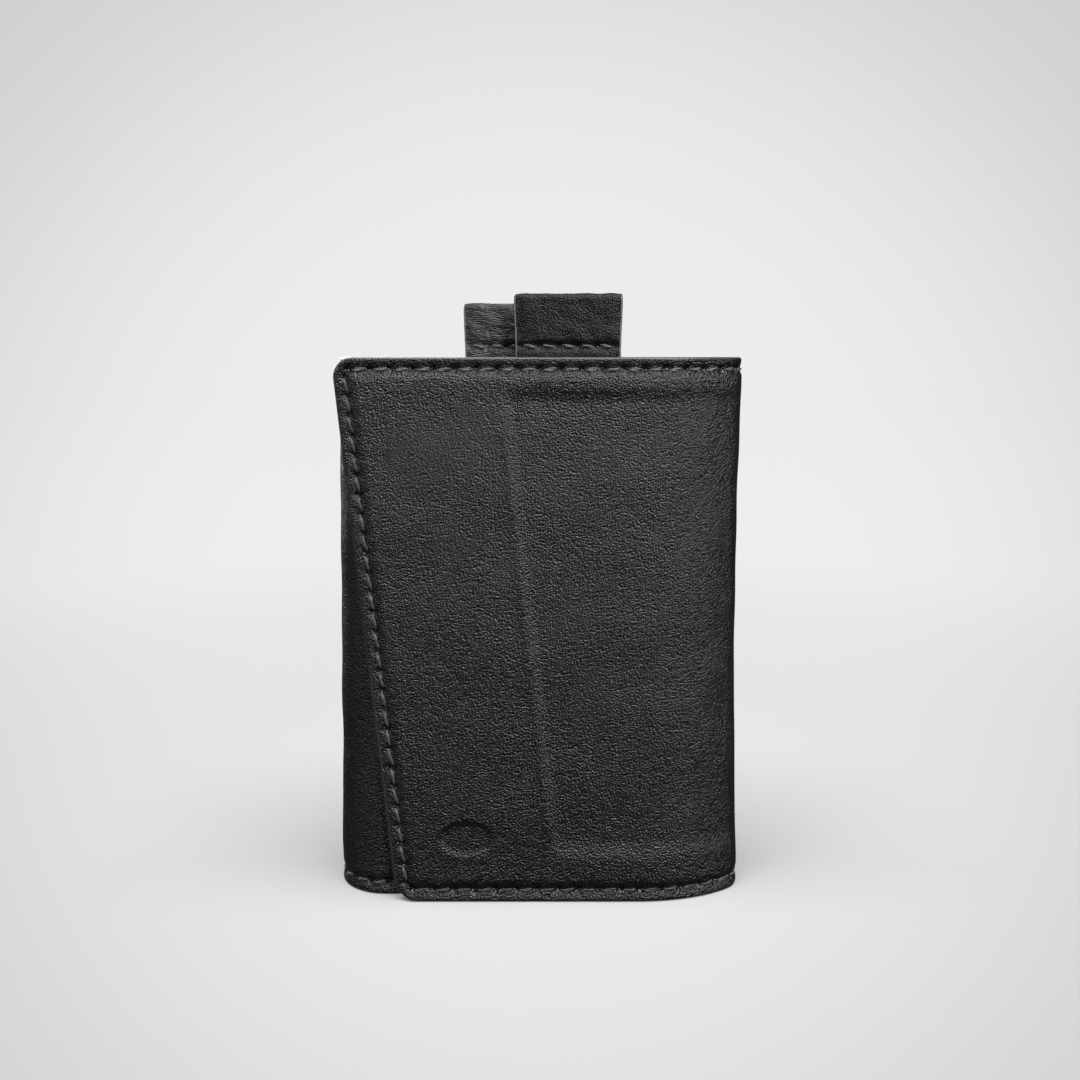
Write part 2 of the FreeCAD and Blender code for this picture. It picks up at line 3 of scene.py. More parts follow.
import bmesh
import bpy
import numpy as np
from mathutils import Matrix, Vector
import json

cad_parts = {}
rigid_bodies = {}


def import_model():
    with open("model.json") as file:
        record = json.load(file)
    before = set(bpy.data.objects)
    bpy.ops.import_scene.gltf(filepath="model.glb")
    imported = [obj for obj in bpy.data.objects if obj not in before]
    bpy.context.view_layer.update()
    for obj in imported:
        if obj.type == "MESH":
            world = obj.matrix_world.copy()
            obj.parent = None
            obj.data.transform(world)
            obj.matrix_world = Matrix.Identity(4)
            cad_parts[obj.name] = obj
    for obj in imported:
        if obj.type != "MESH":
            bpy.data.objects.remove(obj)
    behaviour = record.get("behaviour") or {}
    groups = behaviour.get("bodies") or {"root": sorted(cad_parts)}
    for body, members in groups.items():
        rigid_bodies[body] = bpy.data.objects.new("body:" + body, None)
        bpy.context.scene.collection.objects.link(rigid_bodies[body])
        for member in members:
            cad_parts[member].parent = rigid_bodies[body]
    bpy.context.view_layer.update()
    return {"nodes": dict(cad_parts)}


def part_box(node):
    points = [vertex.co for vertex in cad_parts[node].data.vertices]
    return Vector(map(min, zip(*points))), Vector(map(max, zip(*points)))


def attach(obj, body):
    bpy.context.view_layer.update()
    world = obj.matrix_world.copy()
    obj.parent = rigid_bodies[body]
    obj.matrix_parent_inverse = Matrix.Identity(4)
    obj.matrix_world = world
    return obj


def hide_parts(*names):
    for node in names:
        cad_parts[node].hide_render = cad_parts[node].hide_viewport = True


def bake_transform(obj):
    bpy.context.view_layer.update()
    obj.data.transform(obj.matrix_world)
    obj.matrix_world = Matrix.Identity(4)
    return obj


# Looks of a folding leather card holder with two pull-tab straps.
# The cover is one long strip of leather, wrapped from the flap's free edge round the right side,
# over the back, round the left side and in to the wing's free edge. Every panel, lining and row of
# stitches is worked out in two lengths: "along" the strip, and "up" from the bottom edge.

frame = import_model()

MM = 0.001
FLAP_LOW, FLAP_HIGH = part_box("cover_flap")
FRONT = FLAP_LOW.y
TOP = FLAP_HIGH.z
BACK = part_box("cover_back")[1].y
HALF_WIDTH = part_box("cover_right_spine")[1].x
WING_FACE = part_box("cover_wing")[0].y

COVER = 1.1 * MM
LINING = 0.5 * MM
REAR_FOLD = 7.0 * MM
FRONT_FOLD = 7.0 * MM
SWEEP = 31.5 * MM
WING_FOLD = 9.5 * MM
CORNER = 4.0 * MM
SLANT = 11.6 / 102.0
FLAP_FOOT = -27.1 * MM
WING_FOOT = 2.0 * MM
RIDGE_FOOT = 3.7 * MM
RIDGE_SLANT = 0.109

STITCH_MARGIN = 2.25 * MM
STITCH_PITCH = 3.9 * MM
EDGE_PITCH = 3.65 * MM
STITCH_LENGTH = 2.75 * MM
ROW_GAP = 0.9 * MM
EDGE_ROW_GAP = 1.2 * MM


# ---------------------------------------------------------------- the line of the cover

class Line:
    """A flat line of straight runs and left-hand bends, measured along its length."""

    def __init__(self, start, heading, first=0.0):
        self.spans = []
        self.end = np.array(start, float)
        self.heading = heading
        self.length = first

    def run(self, length):
        """Go straight on."""
        self.spans.append((self.length, self.end.copy(), self.heading, 0.0))
        self.end += length * np.array([math.cos(self.heading), math.sin(self.heading)])
        self.length += length
        return self

    def bend(self, radius, turn):
        """Turn left by an angle."""
        self.spans.append((self.length, self.end.copy(), self.heading, radius))
        left = np.array([-math.sin(self.heading), math.cos(self.heading)])
        centre = self.end + radius * left
        self.heading += turn
        self.end = centre + radius * np.array([math.sin(self.heading), -math.cos(self.heading)])
        self.length += radius * turn
        return self

    def place(self, along):
        """Points at these lengths, and the directions that face out, to the right of the line."""
        along = np.asarray(along, float)
        points = np.zeros(along.shape + (2,))
        normals = np.zeros(along.shape + (2,))
        for number, (start, origin, heading, radius) in enumerate(self.spans):
            mask = along >= start if number else np.ones(along.shape, bool)
            past = along[mask] - start
            angle = heading + (past / radius if radius else 0.0 * past)
            out = np.stack([np.sin(angle), -np.cos(angle)], -1)
            if radius:
                left = np.array([-math.sin(heading), math.cos(heading)])
                points[mask] = origin + radius * left + radius * out
            else:
                forward = np.array([math.cos(heading), math.sin(heading)])
                points[mask] = origin + past[:, None] * forward
            normals[mask] = out
        return points, normals


SWEEP_TURN = math.acos((SWEEP + FRONT) / (SWEEP - FRONT_FOLD))
FLAT_END = HALF_WIDTH - FRONT_FOLD - (SWEEP - FRONT_FOLD) * math.sin(SWEEP_TURN)
LEFT_START = -45.0 * MM

cover_line = Line((LEFT_START, FRONT), 0.0, LEFT_START)
cover_line.run(FLAT_END - LEFT_START).bend(SWEEP, SWEEP_TURN)
cover_line.bend(FRONT_FOLD, math.pi / 2 - SWEEP_TURN)
FOLD_END = cover_line.length
cover_line.run(BACK - REAR_FOLD - cover_line.end[1])
RIGHT_MIDDLE = (FOLD_END + cover_line.length) / 2
cover_line.bend(REAR_FOLD, math.pi / 2)
BACK_START = cover_line.length
cover_line.run(2 * (HALF_WIDTH - REAR_FOLD))
BACK_END = cover_line.length
BACK_MIDDLE = (BACK_START + BACK_END) / 2
cover_line.bend(REAR_FOLD, math.pi / 2)
LEFT_SIDE = cover_line.length
cover_line.run(BACK - REAR_FOLD - WING_FACE - WING_FOLD)
LEFT_MIDDLE = (LEFT_SIDE + cover_line.length) / 2
cover_line.bend(WING_FOLD, math.pi / 2)
WING_START = cover_line.length
cover_line.run(HALF_WIDTH)
WING_ZERO = WING_START + HALF_WIDTH - WING_FOLD


def wrap(along, up, depth):
    """Place a point of the strip: along it, up it and so deep behind its outer face."""
    points, normals = cover_line.place(along)
    flat = points - normals * np.asarray(depth)[..., None]
    return np.concatenate([flat, np.broadcast_to(up, along.shape)[..., None]], -1)


def corner_inset(up):
    """How far the rounded corners pull a free edge in."""
    room = np.clip(np.minimum(up, TOP - up), 0, CORNER)
    return CORNER - np.sqrt(CORNER ** 2 - (CORNER - room) ** 2)


def flap_edge(up):
    """Where the flap's free edge lies along the strip."""
    return FLAP_FOOT - SLANT * up


def wing_edge(up):
    """Where the wing's free edge lies along the strip."""
    return WING_ZERO + WING_FOOT - SLANT * up


def border(along, up):
    """Distance from the nearest cut edge of the strip."""
    side = np.minimum(along - flap_edge(up), wing_edge(up) - along) / math.hypot(1, SLANT)
    end = np.minimum(up, TOP - up)
    near = np.minimum(side, end)
    both = (side < CORNER) & (end < CORNER)
    round_corner = CORNER - np.hypot(CORNER - side, CORNER - end)
    return np.where(both, round_corner, near)


def ease(value, low, high):
    """0 below low, 1 above high, and smooth between."""
    part = np.clip((value - low) / (high - low), 0, 1)
    return part * part * (3 - 2 * part)


def bump(value, centre, width):
    """A smooth bump of height 1."""
    return np.exp(-((value - centre) / width) ** 2)


# ---------------------------------------------------------------- stitches and relief

class Row:
    """Stitches in a row: where their middles are, which way they run and their pitch."""

    def __init__(self, along, up, direction, pitch):
        self.middles = np.stack([along, up], -1)
        self.direction = np.array(direction)
        self.pitch = pitch

    def holes(self):
        """The holes between stitches, and one at each end."""
        step = self.pitch / 2 * self.direction
        return np.concatenate([self.middles - step, self.middles[-1:] + step])


def level_row(up):
    """A row along the top or the bottom edge of the whole strip."""
    start = flap_edge(up) + STITCH_MARGIN + ROW_GAP
    stop = wing_edge(up) - STITCH_MARGIN - ROW_GAP
    count = round((stop - start) / STITCH_PITCH)
    along = np.linspace(start, stop, count + 1)
    middles = (along[1:] + along[:-1]) / 2
    return Row(middles, np.full(count, up), (1.0, 0.0), along[1] - along[0])


def slanting_row(edge, side):
    """A row along a free edge."""
    low = STITCH_MARGIN + EDGE_ROW_GAP
    high = TOP - low
    count = round((high - low) / EDGE_PITCH)
    up = low + (np.arange(count) + 0.5) * (high - low) / count
    length = math.hypot(1, SLANT)
    direction = (-SLANT / length, 1 / length)
    pitch = (high - low) / count * length
    return Row(edge(up) + side * STITCH_MARGIN, up, direction, pitch)


ROWS = [
    level_row(TOP - STITCH_MARGIN), level_row(STITCH_MARGIN),
    slanting_row(flap_edge, 1), slanting_row(wing_edge, -1),
]
HOLES = np.concatenate([row.holes() for row in ROWS])


def waves(along, up, size):
    """Slow, uneven waves between about -1 and 1, about so long."""
    random = np.random.default_rng(5)
    count = 9
    total = np.zeros(np.shape(along))
    for angle, stretch, phase in random.uniform(0, 1, (count, 3)):
        turn = angle * math.tau
        pace = math.tau / (size * (0.6 + 0.9 * stretch))
        total += np.sin((along * math.cos(turn) + up * math.sin(turn)) * pace + phase * math.tau)
    return total / math.sqrt(count)


def near_holes(along, up, reach):
    """How close each point is to a needle hole, from 0 to 1."""
    total = np.zeros(along.shape)
    for hole_along, hole_up in HOLES:
        close = (np.abs(along - hole_along) < 3 * reach) & (np.abs(up - hole_up) < 3 * reach)
        gap = np.hypot(along[close] - hole_along, up[close] - hole_up)
        total[close] = np.maximum(total[close], bump(gap, 0, reach))
    return total


PRINT_FOOT = 10.4 * MM
PRINT_TOP = 94.9 * MM
PRINT_DEPTH = 0.55 * MM
RIDGE_HEIGHT = 0.17 * MM
CREASE_DEPTH = 0.12 * MM
MARK_PLACE = (-13.9 * MM, 12.2 * MM)
MARK_SIZE = (5.0 * MM, 3.1 * MM)
MARK_DEPTH = 0.34 * MM
HEM_START = 1.9 * MM
HEM_END = 4.4 * MM
BACK_HEM = 0.26 * MM
FLAP_HEM = 0.36 * MM
BEAD_HEIGHT = 0.30 * MM
EDGE_FALL = 0.30 * MM
GROOVE_DEPTH = 0.14 * MM
HOLE_DEPTH = 0.75 * MM
HOLE_REACH = 0.58 * MM
SLACK = 0.085 * MM
PUCKER = 0.07 * MM


def on_flap_part(along):
    """1 on the flap's flat part, falling to 0 at the end of its fold."""
    return 1 - ease(along, FLAT_END, FOLD_END)


def hem(along, edge):
    """How far the stitched hem is pressed down."""
    depth = BACK_HEM + FLAP_HEM * on_flap_part(along)
    return depth * (1 - ease(edge, HEM_START, HEM_END))


def card_print(along, up):
    """Where the leather sinks between the hems, right of the ridge that the wing's edge makes."""
    ridge = RIDGE_FOOT - RIDGE_SLANT * up
    inside = ease(along, ridge - 0.9 * MM, ridge + 1.8 * MM)
    inside *= 1 - ease(along, FOLD_END - 9 * MM, FOLD_END - 0.5 * MM)
    inside *= ease(up, PRINT_FOOT - 2.6 * MM, PRINT_FOOT + 1.4 * MM)
    inside *= 1 - ease(up, PRINT_TOP - 1.6 * MM, PRINT_TOP + 1.8 * MM)
    return inside


def side_sag(along, up):
    """How far the right side falls in between its stiff ends."""
    on_side = ease(along, FLAT_END + 12 * MM, FOLD_END)
    on_side *= 1 - ease(along, BACK_START - 9 * MM, BACK_START)
    level = np.clip(up / TOP, 0, 1)
    return MM * on_side * (0.95 * np.sin(math.pi * level) ** 0.8 + 0.4 * (1 - level))


def relief(along, up):
    """How far the outer face sinks behind its plain shape."""
    edge = border(along, up)
    end = np.minimum(up, TOP - up)
    side = along - flap_edge(up)
    on_flap = on_flap_part(along)
    bent = ease(along, FOLD_END - 6 * MM, FOLD_END) * (1 - ease(along, BACK_START - 7 * MM, BACK_START))

    sink = hem(along, edge)
    sink += GROOVE_DEPTH * bump(edge, STITCH_MARGIN, 0.7 * MM)
    bead = BEAD_HEIGHT * (1 - 0.8 * bent) * ease(side, 1.0 * MM, 3.0 * MM)
    sink -= bead * (1 - ease(end, 0.3 * MM, 2.3 * MM))
    sink += EDGE_FALL * (1 - ease(side, 0.2 * MM, 2.6 * MM))
    sink += HOLE_DEPTH * (1 - 0.9 * bent) * near_holes(along, up, HOLE_REACH)

    ridge = RIDGE_FOOT - RIDGE_SLANT * up
    level = ease(up, PRINT_FOOT, PRINT_FOOT + 5 * MM) * (1 - ease(up, PRINT_TOP - 9 * MM, PRINT_TOP))
    right = ease(along, ridge, ridge + 6 * MM) * on_flap
    sink += PRINT_DEPTH * card_print(along, up)
    sink -= RIDGE_HEIGHT * bump(along, ridge - 0.8 * MM, 1.0 * MM) * level * on_flap
    sink += CREASE_DEPTH * bump(up, PRINT_TOP - 0.4 * MM, 1.5 * MM) * right
    sink += side_sag(along, up)

    mark = np.hypot((along - MARK_PLACE[0]) / MARK_SIZE[0], (up - MARK_PLACE[1]) / MARK_SIZE[1])
    sink += MARK_DEPTH * (1 - ease(mark, 0.88, 1.08)) - 0.05 * MM * bump(mark, 1.17, 0.10)

    sink += SLACK * waves(along, up, 21 * MM) * ease(edge, 1 * MM, 8 * MM)
    sink += PUCKER * waves(along, up, 2.6 * MM) * bump(edge, 3.4 * MM, 1.4 * MM)
    return sink


# ---------------------------------------------------------------- meshes

def spaced(first, last, step, fine_first=True, fine_last=True):
    """Places from first to last, closer together where an edge is rounded."""
    fine = np.array([0.0, 0.05, 0.15, 0.32, 0.55, 0.85]) * MM
    length = last - first
    head = fine if fine_first else np.array([0.0])
    tail = length - fine[::-1] if fine_last else np.array([length])
    count = max(2, int(round((tail[0] - head[-1]) / step)))
    middle = np.linspace(head[-1], tail[0], count + 1)[1:-1]
    return first + np.concatenate([head, middle, tail])


def mesh_object(name, verts, faces, materials, face_material=None, flat=None):
    """A smooth mesh with its finishes, and its flat pattern as a UV map."""
    mesh = bpy.data.meshes.new(name)
    mesh.from_pydata(verts, [], faces)
    mesh.update()
    for material in materials:
        mesh.materials.append(material)
    if face_material is not None:
        mesh.polygons.foreach_set("material_index", np.asarray(face_material, np.int32))
    if flat is not None:
        layer = mesh.uv_layers.new(name="pattern")
        corners = np.empty(len(mesh.loops), np.int32)
        mesh.loops.foreach_get("vertex_index", corners)
        layer.data.foreach_set("uv", np.asarray(flat, np.float32)[corners].ravel())
    work = bmesh.new()
    work.from_mesh(mesh)
    bmesh.ops.recalc_face_normals(work, faces=work.faces)
    work.to_mesh(mesh)
    work.free()
    mesh.polygons.foreach_set("use_smooth", np.ones(len(mesh.polygons), bool))
    mesh.set_sharp_from_angle(angle=math.radians(62))
    thing = bpy.data.objects.new(name, mesh)
    bpy.context.scene.collection.objects.link(thing)
    return thing


def shell(name, along, up, outer, inner, materials, edge, place=wrap, rim=0.4 * MM):
    """A closed sheet between two depths, over a grid, with its cut edge as the second finish."""
    rows, columns = along.shape
    skins = [place(along, up, outer), place(along, up, inner)]
    verts = np.concatenate([skin.reshape(-1, 3) for skin in skins])
    index = np.arange(rows * columns).reshape(rows, columns)
    quads = np.stack([index[:-1, :-1], index[:-1, 1:], index[1:, 1:], index[1:, :-1]], -1).reshape(-1, 4)
    back = quads[:, ::-1] + rows * columns
    ring = np.concatenate([index[0, :-1], index[:-1, -1], index[-1, :0:-1], index[:0:-1, 0]])
    after = np.roll(ring, -1)
    wall = np.stack([after, ring, ring + rows * columns, after + rows * columns], -1)
    faces = np.concatenate([quads, back, wall])
    distance = np.concatenate([edge.ravel(), edge.ravel()])
    painted = (distance[faces].mean(1) < rim).astype(int)
    flat = np.concatenate([np.stack([along.ravel(), up.ravel()], -1)] * 2)
    return mesh_object(name, verts.tolist(), faces.tolist(), materials, painted, flat)


def join_faces(verts, faces, more_verts, more_faces):
    """Add one set of points and faces to another."""
    start = len(verts)
    verts += more_verts
    faces += [tuple(start + corner for corner in face) for face in more_faces]


def rounding(edge, radius):
    """How far a rounded cut edge falls away."""
    inside = np.clip(edge / radius, 0, 1)
    return radius * (1 - np.sqrt(1 - (1 - inside) ** 2))


def strip_grid(first, last, step, margin=0.0):
    """A grid over part of the strip. Each end is a length or a free edge's function."""
    up = spaced(margin, TOP - margin, step)[:, None]
    start_free, stop_free = callable(first), callable(last)
    start = first(up) + corner_inset(up) + margin if start_free else first + 0 * up
    stop = last(up) - corner_inset(up) - margin if stop_free else last + 0 * up
    reach = float((stop - start).max())
    part = spaced(0, reach, step, start_free, stop_free) / reach
    along = start + (stop - start) * part[None, :]
    return along, up + 0 * along


# ---------------------------------------------------------------- finishes

def node_group(name, inputs, outputs):
    """A new shader node group with its sockets; returns the tree and its two ends."""
    tree = bpy.data.node_groups.new(name, "ShaderNodeTree")
    for label, kind, default in inputs:
        socket = tree.interface.new_socket(label, in_out="INPUT", socket_type=kind)
        if default is not None:
            socket.default_value = default
    for label, kind in outputs:
        tree.interface.new_socket(label, in_out="OUTPUT", socket_type=kind)
    start = tree.nodes.new("NodeGroupInput")
    end = tree.nodes.new("NodeGroupOutput")
    return tree, start, end


def add(tree, kind, links=(), **values):
    """Add a node, set its values and link its inputs."""
    node = tree.nodes.new(kind)
    for key, value in values.items():
        setattr(node, key, value)
    for socket, source in dict(links).items():
        if isinstance(source, bpy.types.NodeSocket):
            tree.links.new(source, node.inputs[socket])
        else:
            node.inputs[socket].default_value = source
    return node


def math_node(tree, operation, first, second=0.5, third=0.5):
    """One step of arithmetic."""
    return add(tree, "ShaderNodeMath", {0: first, 1: second, 2: third}, operation=operation).outputs[0]


def vector_node(tree, operation, first, second=(0, 0, 0)):
    """One step of arithmetic on a vector, or on two."""
    return add(tree, "ShaderNodeVectorMath", {0: first, 1: second}, operation=operation).outputs


def noise_node(tree, vector, scale, detail):
    """Soft noise of so many waves a metre."""
    return add(tree, "ShaderNodeTexNoise", {"Vector": vector, "Scale": scale, "Detail": detail}).outputs


def span_node(tree, value, low, high, to_low=0.0, to_high=1.0, smooth=False):
    """Stretch a span of values over another."""
    links = {"Value": value, "From Min": low, "From Max": high, "To Min": to_low, "To Max": to_high}
    kind = "SMOOTHSTEP" if smooth else "LINEAR"
    return add(tree, "ShaderNodeMapRange", links, interpolation_type=kind).outputs["Result"]


FLOAT, VECTOR = "NodeSocketFloat", "NodeSocketVector"


def build_grain():
    """Leather grain: small domed pebbles with creases between them, a mask of painted shade for the
    creases, and slow patches.
    """
    tree, start, end = node_group(
        "leather_grain",
        [("Vector", VECTOR, None), ("Pebble", FLOAT, 2500.0), ("Creases", FLOAT, 0.5)],
        [("Height", FLOAT), ("PaintedCreaseShade", FLOAT), ("Patch", FLOAT)])
    vector, pebble = start.outputs["Vector"], start.outputs["Pebble"]
    drift = noise_node(tree, vector, 420.0, 2.0)["Color"]
    shift = vector_node(tree, "SUBTRACT", drift, (0.5, 0.5, 0.5))[0]
    push = add(tree, "ShaderNodeVectorMath", {0: shift, "Scale": 0.0005}, operation="SCALE").outputs[0]
    cell = {"Vector": vector_node(tree, "ADD", vector, push)[0], "Scale": pebble}
    walls = add(tree, "ShaderNodeTexVoronoi", cell, feature="DISTANCE_TO_EDGE").outputs["Distance"]
    middles = add(tree, "ShaderNodeTexVoronoi", cell).outputs["Distance"]
    dome = math_node(tree, "SUBTRACT", 1.0, math_node(tree, "POWER", middles, 2.0))
    pores = noise_node(tree, vector, 4200.0, 3.0)["Fac"]
    height = math_node(tree, "MULTIPLY_ADD", pores, 0.12, dome)
    # Painted shade: a mask that darkens the creases between the pebbles
    crease = math_node(tree, "SUBTRACT", 1.0, span_node(tree, walls, 0.0, 0.2, smooth=True))
    crease = math_node(tree, "MULTIPLY", crease, start.outputs["Creases"])
    tree.links.new(height, end.inputs["Height"])
    tree.links.new(crease, end.inputs["PaintedCreaseShade"])
    tree.links.new(noise_node(tree, vector, 55.0, 3.0)["Fac"], end.inputs["Patch"])
    return tree


def build_wear():
    """Wear: lighter where the leather is pushed out, from the shape itself."""
    tree, start, end = node_group(
        "edge_wear", [("Vector", VECTOR, None), ("Strength", FLOAT, 0.5)], [("Mask", FLOAT)])
    shape = add(tree, "ShaderNodeNewGeometry").outputs["Pointiness"]
    raised = span_node(tree, shape, 0.52, 0.60)
    patchy = span_node(tree, noise_node(tree, start.outputs["Vector"], 900.0, 3.0)["Fac"], 0.35, 0.65)
    mask = math_node(tree, "MULTIPLY", raised, patchy)
    mask = math_node(tree, "MULTIPLY", mask, start.outputs["Strength"])
    tree.links.new(mask, end.inputs["Mask"])
    return tree


def build_weave():
    """Close ribs across a ribbon, crossed by finer threads, and a painted shade that darkens the hollows
    between them.
    """
    tree, start, end = node_group(
        "ribbon_weave", [("Vector", VECTOR, None)], [("Height", FLOAT), ("Shade", FLOAT)])
    vector = start.outputs["Vector"]
    ribs, threads = [
        add(tree, "ShaderNodeTexWave",
            {"Vector": vector, "Scale": scale, "Distortion": uneven, "Detail": 1.0},
            bands_direction=way).outputs["Fac"]
        for scale, uneven, way in ((620.0, 0.6, "Y"), (900.0, 0.4, "X"))
    ]
    fuzz = noise_node(tree, vector, 5200.0, 2.0)["Fac"]
    height = math_node(tree, "MULTIPLY_ADD", threads, 0.45, ribs)
    height = math_node(tree, "MULTIPLY_ADD", fuzz, 0.3, height)
    tree.links.new(height, end.inputs["Height"])
    # Shade: painted shade, lighter on the ribs and darker in the hollows
    tree.links.new(span_node(tree, height, 0.2, 1.5), end.inputs["Shade"])
    return tree


GRAIN = build_grain()
WEAR = build_wear()
WEAVE = build_weave()


def new_finish(name, on_pattern):
    """An empty material with a Principled shader, and the coordinates it uses."""
    material = bpy.data.materials.new(name)
    material.use_nodes = True
    tree = material.node_tree
    shader = tree.nodes["Principled BSDF"]
    if on_pattern:
        vector = add(tree, "ShaderNodeUVMap", uv_map="pattern").outputs["UV"]
    else:
        vector = add(tree, "ShaderNodeTexCoord").outputs["Object"]
    return material, tree, shader, vector


def mix_colour(tree, factor, first, second):
    """A colour between two others."""
    node = add(tree, "ShaderNodeMix", data_type="RGBA")
    for socket, source in ((0, factor), (6, first), (7, second)):
        if isinstance(source, bpy.types.NodeSocket):
            tree.links.new(source, node.inputs[socket])
        else:
            node.inputs[socket].default_value = source
    return node.outputs[2]


def grey(value):
    """A plain grey."""
    return (value, value, value, 1.0)


def finish_links(tree, shader, base, dull, height=None, strength=1.0, lift=0.0):
    """Join a finish's colour, roughness and raised pattern to its shader."""
    tree.links.new(base, shader.inputs["Base Color"])
    tree.links.new(dull, shader.inputs["Roughness"])
    if height is not None:
        links = {"Height": height, "Strength": strength, "Distance": lift}
        raised = add(tree, "ShaderNodeBump", links).outputs["Normal"]
        tree.links.new(raised, shader.inputs["Normal"])


def leather(name, dark, light, rough, pebble, lift, stretch=(1, 1, 1), lean=0.0, gloss=0.5,
            on_pattern=True):
    """Grained leather, dyed through, with painted shade darkening the grain's creases, and paler where
    it is worn.
    """
    material, tree, shader, vector = new_finish(name, on_pattern)
    turned = {"Vector": vector, "Rotation": (0, 0, lean), "Scale": stretch}
    scaled = add(tree, "ShaderNodeMapping", turned, vector_type="TEXTURE").outputs["Vector"]
    grain = add(tree, "ShaderNodeGroup", {"Vector": scaled, "Pebble": pebble}, node_tree=GRAIN).outputs
    wear = add(tree, "ShaderNodeGroup", {"Vector": vector}, node_tree=WEAR).outputs
    patch = span_node(tree, grain["Patch"], 0.35, 0.65)
    base = mix_colour(tree, patch, grey(dark), grey(light))
    # painted shade in the grain's creases
    base = mix_colour(tree, grain["PaintedCreaseShade"], base, grey(dark * 0.55))
    base = mix_colour(tree, wear["Mask"], base, grey(light * 1.9))
    dull = math_node(tree, "MULTIPLY_ADD", patch, 0.03, rough)
    finish_links(tree, shader, base, dull, grain["Height"], 1.0, lift * MM)
    shader.inputs["Specular IOR Level"].default_value = gloss
    return material


def rim_paint_and_highlight(name, tone, rough):
    """Paint on a cut edge: smooth and rounded, with faint drag marks along it. Its grey, lighter than
    the leather, is partly a painted highlight for the lit edge.
    """
    material, tree, shader, vector = new_finish(name, False)
    marks = noise_node(tree, vector, 700.0, 4.0)["Fac"]
    base = mix_colour(tree, marks, grey(tone * 0.75), grey(tone * 1.3))
    dull = span_node(tree, marks, 0.3, 0.7, rough, rough + 0.15)
    finish_links(tree, shader, base, dull, marks, 0.35, 0.08 * MM)
    shader.inputs["Coat Weight"].default_value = 0.35
    shader.inputs["Coat Roughness"].default_value = 0.25
    return material


def yarn(name, tone):
    """Waxed twisted thread with fine fibres."""
    material, tree, shader, vector = new_finish(name, False)
    fibres = noise_node(tree, vector, 6500.0, 2.0)["Fac"]
    base = mix_colour(tree, fibres, grey(tone * 0.6), grey(tone * 1.5))
    dull = span_node(tree, fibres, 0.3, 0.7, 0.38, 0.6)
    finish_links(tree, shader, base, dull, fibres, 0.5, 0.05 * MM)
    shader.inputs["Sheen Weight"].default_value = 0.2
    return material


def ribbon_cloth(name, tone):
    """Ribbed woven ribbon, with painted shade in the hollows between its ribs."""
    material, tree, shader, vector = new_finish(name, True)
    weave = add(tree, "ShaderNodeGroup", {"Vector": vector}, node_tree=WEAVE).outputs
    # painted shade between the ribs
    base = mix_colour(tree, weave["Shade"], grey(tone * 0.5), grey(tone * 1.6))
    dull = span_node(tree, weave["Shade"], 0.0, 1.0, 0.85, 0.6)
    finish_links(tree, shader, base, dull, weave["Height"], 0.7, 0.12 * MM)
    shader.inputs["Sheen Weight"].default_value = 0.3
    return material


def pressed_board(name):
    """Grey fibre board with flecks."""
    material, tree, shader, vector = new_finish(name, False)
    flecks = noise_node(tree, vector, 1500.0, 5.0)["Fac"]
    fibre = span_node(tree, flecks, 0.4, 0.62)
    base = mix_colour(tree, fibre, (0.16, 0.145, 0.125, 1), (0.30, 0.28, 0.25, 1))
    dull = span_node(tree, flecks, 0.3, 0.7, 0.8, 0.95)
    finish_links(tree, shader, base, dull, flecks, 0.4, 0.1 * MM)
    return material


def plated_metal(name, tone, rough):
    """Dull plated metal with fine specks."""
    material, tree, shader, vector = new_finish(name, False)
    specks = noise_node(tree, vector, 2600.0, 3.0)["Fac"]
    base = mix_colour(tree, specks, grey(tone * 0.8), grey(tone * 1.1))
    dull = span_node(tree, specks, 0.3, 0.7, rough, rough + 0.2)
    finish_links(tree, shader, base, dull)
    shader.inputs["Metallic"].default_value = 1.0
    return material


COVER_LEATHER = leather("cover_leather", 0.0022, 0.004, 0.3, pebble=2500.0, lift=0.2,
                        stretch=(1.0, 0.75, 1), lean=0.6)
TAB_LEATHER = leather("tab_leather", 0.002, 0.0035, 0.34, pebble=3300.0, lift=0.10, gloss=0.25)
CREASED_LEATHER = leather("creased_tab_leather", 0.009, 0.014, 0.36, pebble=2600.0, lift=0.14,
                          stretch=(0.62, 2.4, 1), gloss=0.55)
LINING_LEATHER = leather("lining_leather", 0.007, 0.011, 0.5, pebble=3000.0, lift=0.09)
WALL_LEATHER = leather("wall_leather", 0.006, 0.01, 0.42, pebble=2700.0, lift=0.08)
STRIP_LEATHER = leather("strip_leather", 0.006, 0.01, 0.46, pebble=2700.0, lift=0.08, on_pattern=False)
# Real edge paint, given a lighter grey than the leather as a painted highlight along the lit cut edges;
# the tabs' edges lighter still
RIM_PAINT_AND_HIGHLIGHT = rim_paint_and_highlight("rim_paint_and_highlight", 0.03, 0.3)
TAB_RIM_PAINT_AND_HIGHLIGHT = rim_paint_and_highlight("tab_rim_paint_and_highlight", 0.11, 0.3)
YARN = yarn("waxed_thread", 0.04)
RIBBON = ribbon_cloth("ribbon_weave_black", 0.02)
BOARD = pressed_board("fibre_board")
NICKEL = plated_metal("nickel_plate", 0.62, 0.22)
STEEL = plated_metal("plain_steel", 0.5, 0.35)


# ---------------------------------------------------------------- cover and lining

